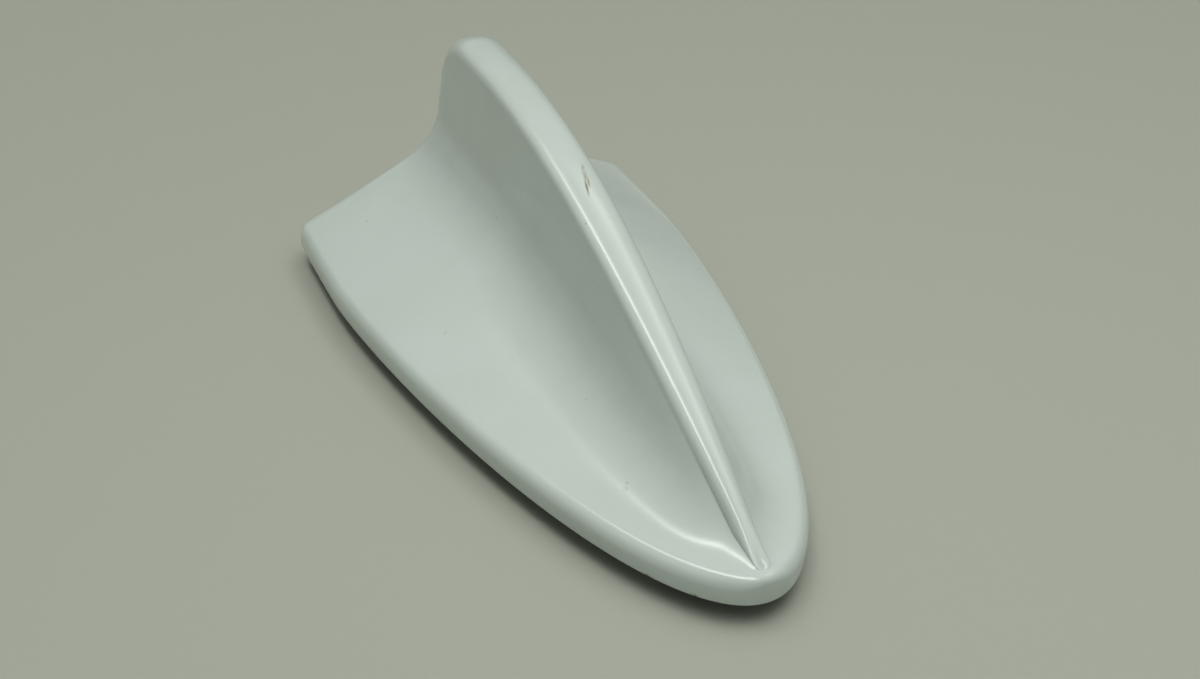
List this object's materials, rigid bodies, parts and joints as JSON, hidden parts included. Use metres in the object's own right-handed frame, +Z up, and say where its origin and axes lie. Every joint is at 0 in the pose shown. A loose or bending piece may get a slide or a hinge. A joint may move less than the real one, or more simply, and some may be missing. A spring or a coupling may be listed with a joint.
{
  "type": "shark fin aerial",
  "caption": "Roof aerial with a glossy moulded shark fin cover over a cast base, upright and flat circuit boards, coaxial sockets, seals and a threaded fixing boss.",
  "frame": {"origin": "centre of the fixing hole in the plane of the roof, which is the underside of the gasket", "axes": "+X to the nose along the symmetry plane, +Y to the left, +Z up away from the roof"},
  "size_m": [0.16, 0.0854, 0.0574],
  "materials": {
    "white_paint": "gloss white lacquer on moulded plastic",
    "seal_rubber": "matt black",
    "gasket_rubber": "matt black",
    "cast_zinc": "as cast, satin",
    "zinc_steel": "zinc plated",
    "board_green": "solder mask",
    "patch_ceramic": "fired, matt",
    "silver_plate": "fired silver",
    "gold_plate": "gold plated brass",
    "tin_plate": "tin plated",
    "chip_epoxy": "moulded epoxy",
    "passive_ceramic": "tinned ends",
    "copper_foil": "bare copper",
    "black_plastic": "moulded",
    "white_plastic": "moulded"
  },
  "bodies": {
    "root": {"cover": "white_paint", "cover_seal": "seal_rubber", "base_plate": "cast_zinc", "roof_gasket": "gasket_rubber", "cover_screws": "zinc_steel", "main_board": "board_green", "board_screws": "zinc_steel", "gps_pad": "seal_rubber", "gps_patch": "patch_ceramic", "gps_electrode": "silver_plate", "gps_feed_pin": "gold_plate", "shield_can": "tin_plate", "board_chips": "chip_epoxy", "board_passives": "passive_ceramic", "fin_board": "board_green", "radio_radiator": "copper_foil", "phone_radiator": "copper_foil", "fin_carrier": "black_plastic", "carrier_screws": "zinc_steel", "socket_sleeves": "gold_plate", "socket_insulators": "white_plastic", "socket_pins": "gold_plate"}
  },
  "joints": []
}
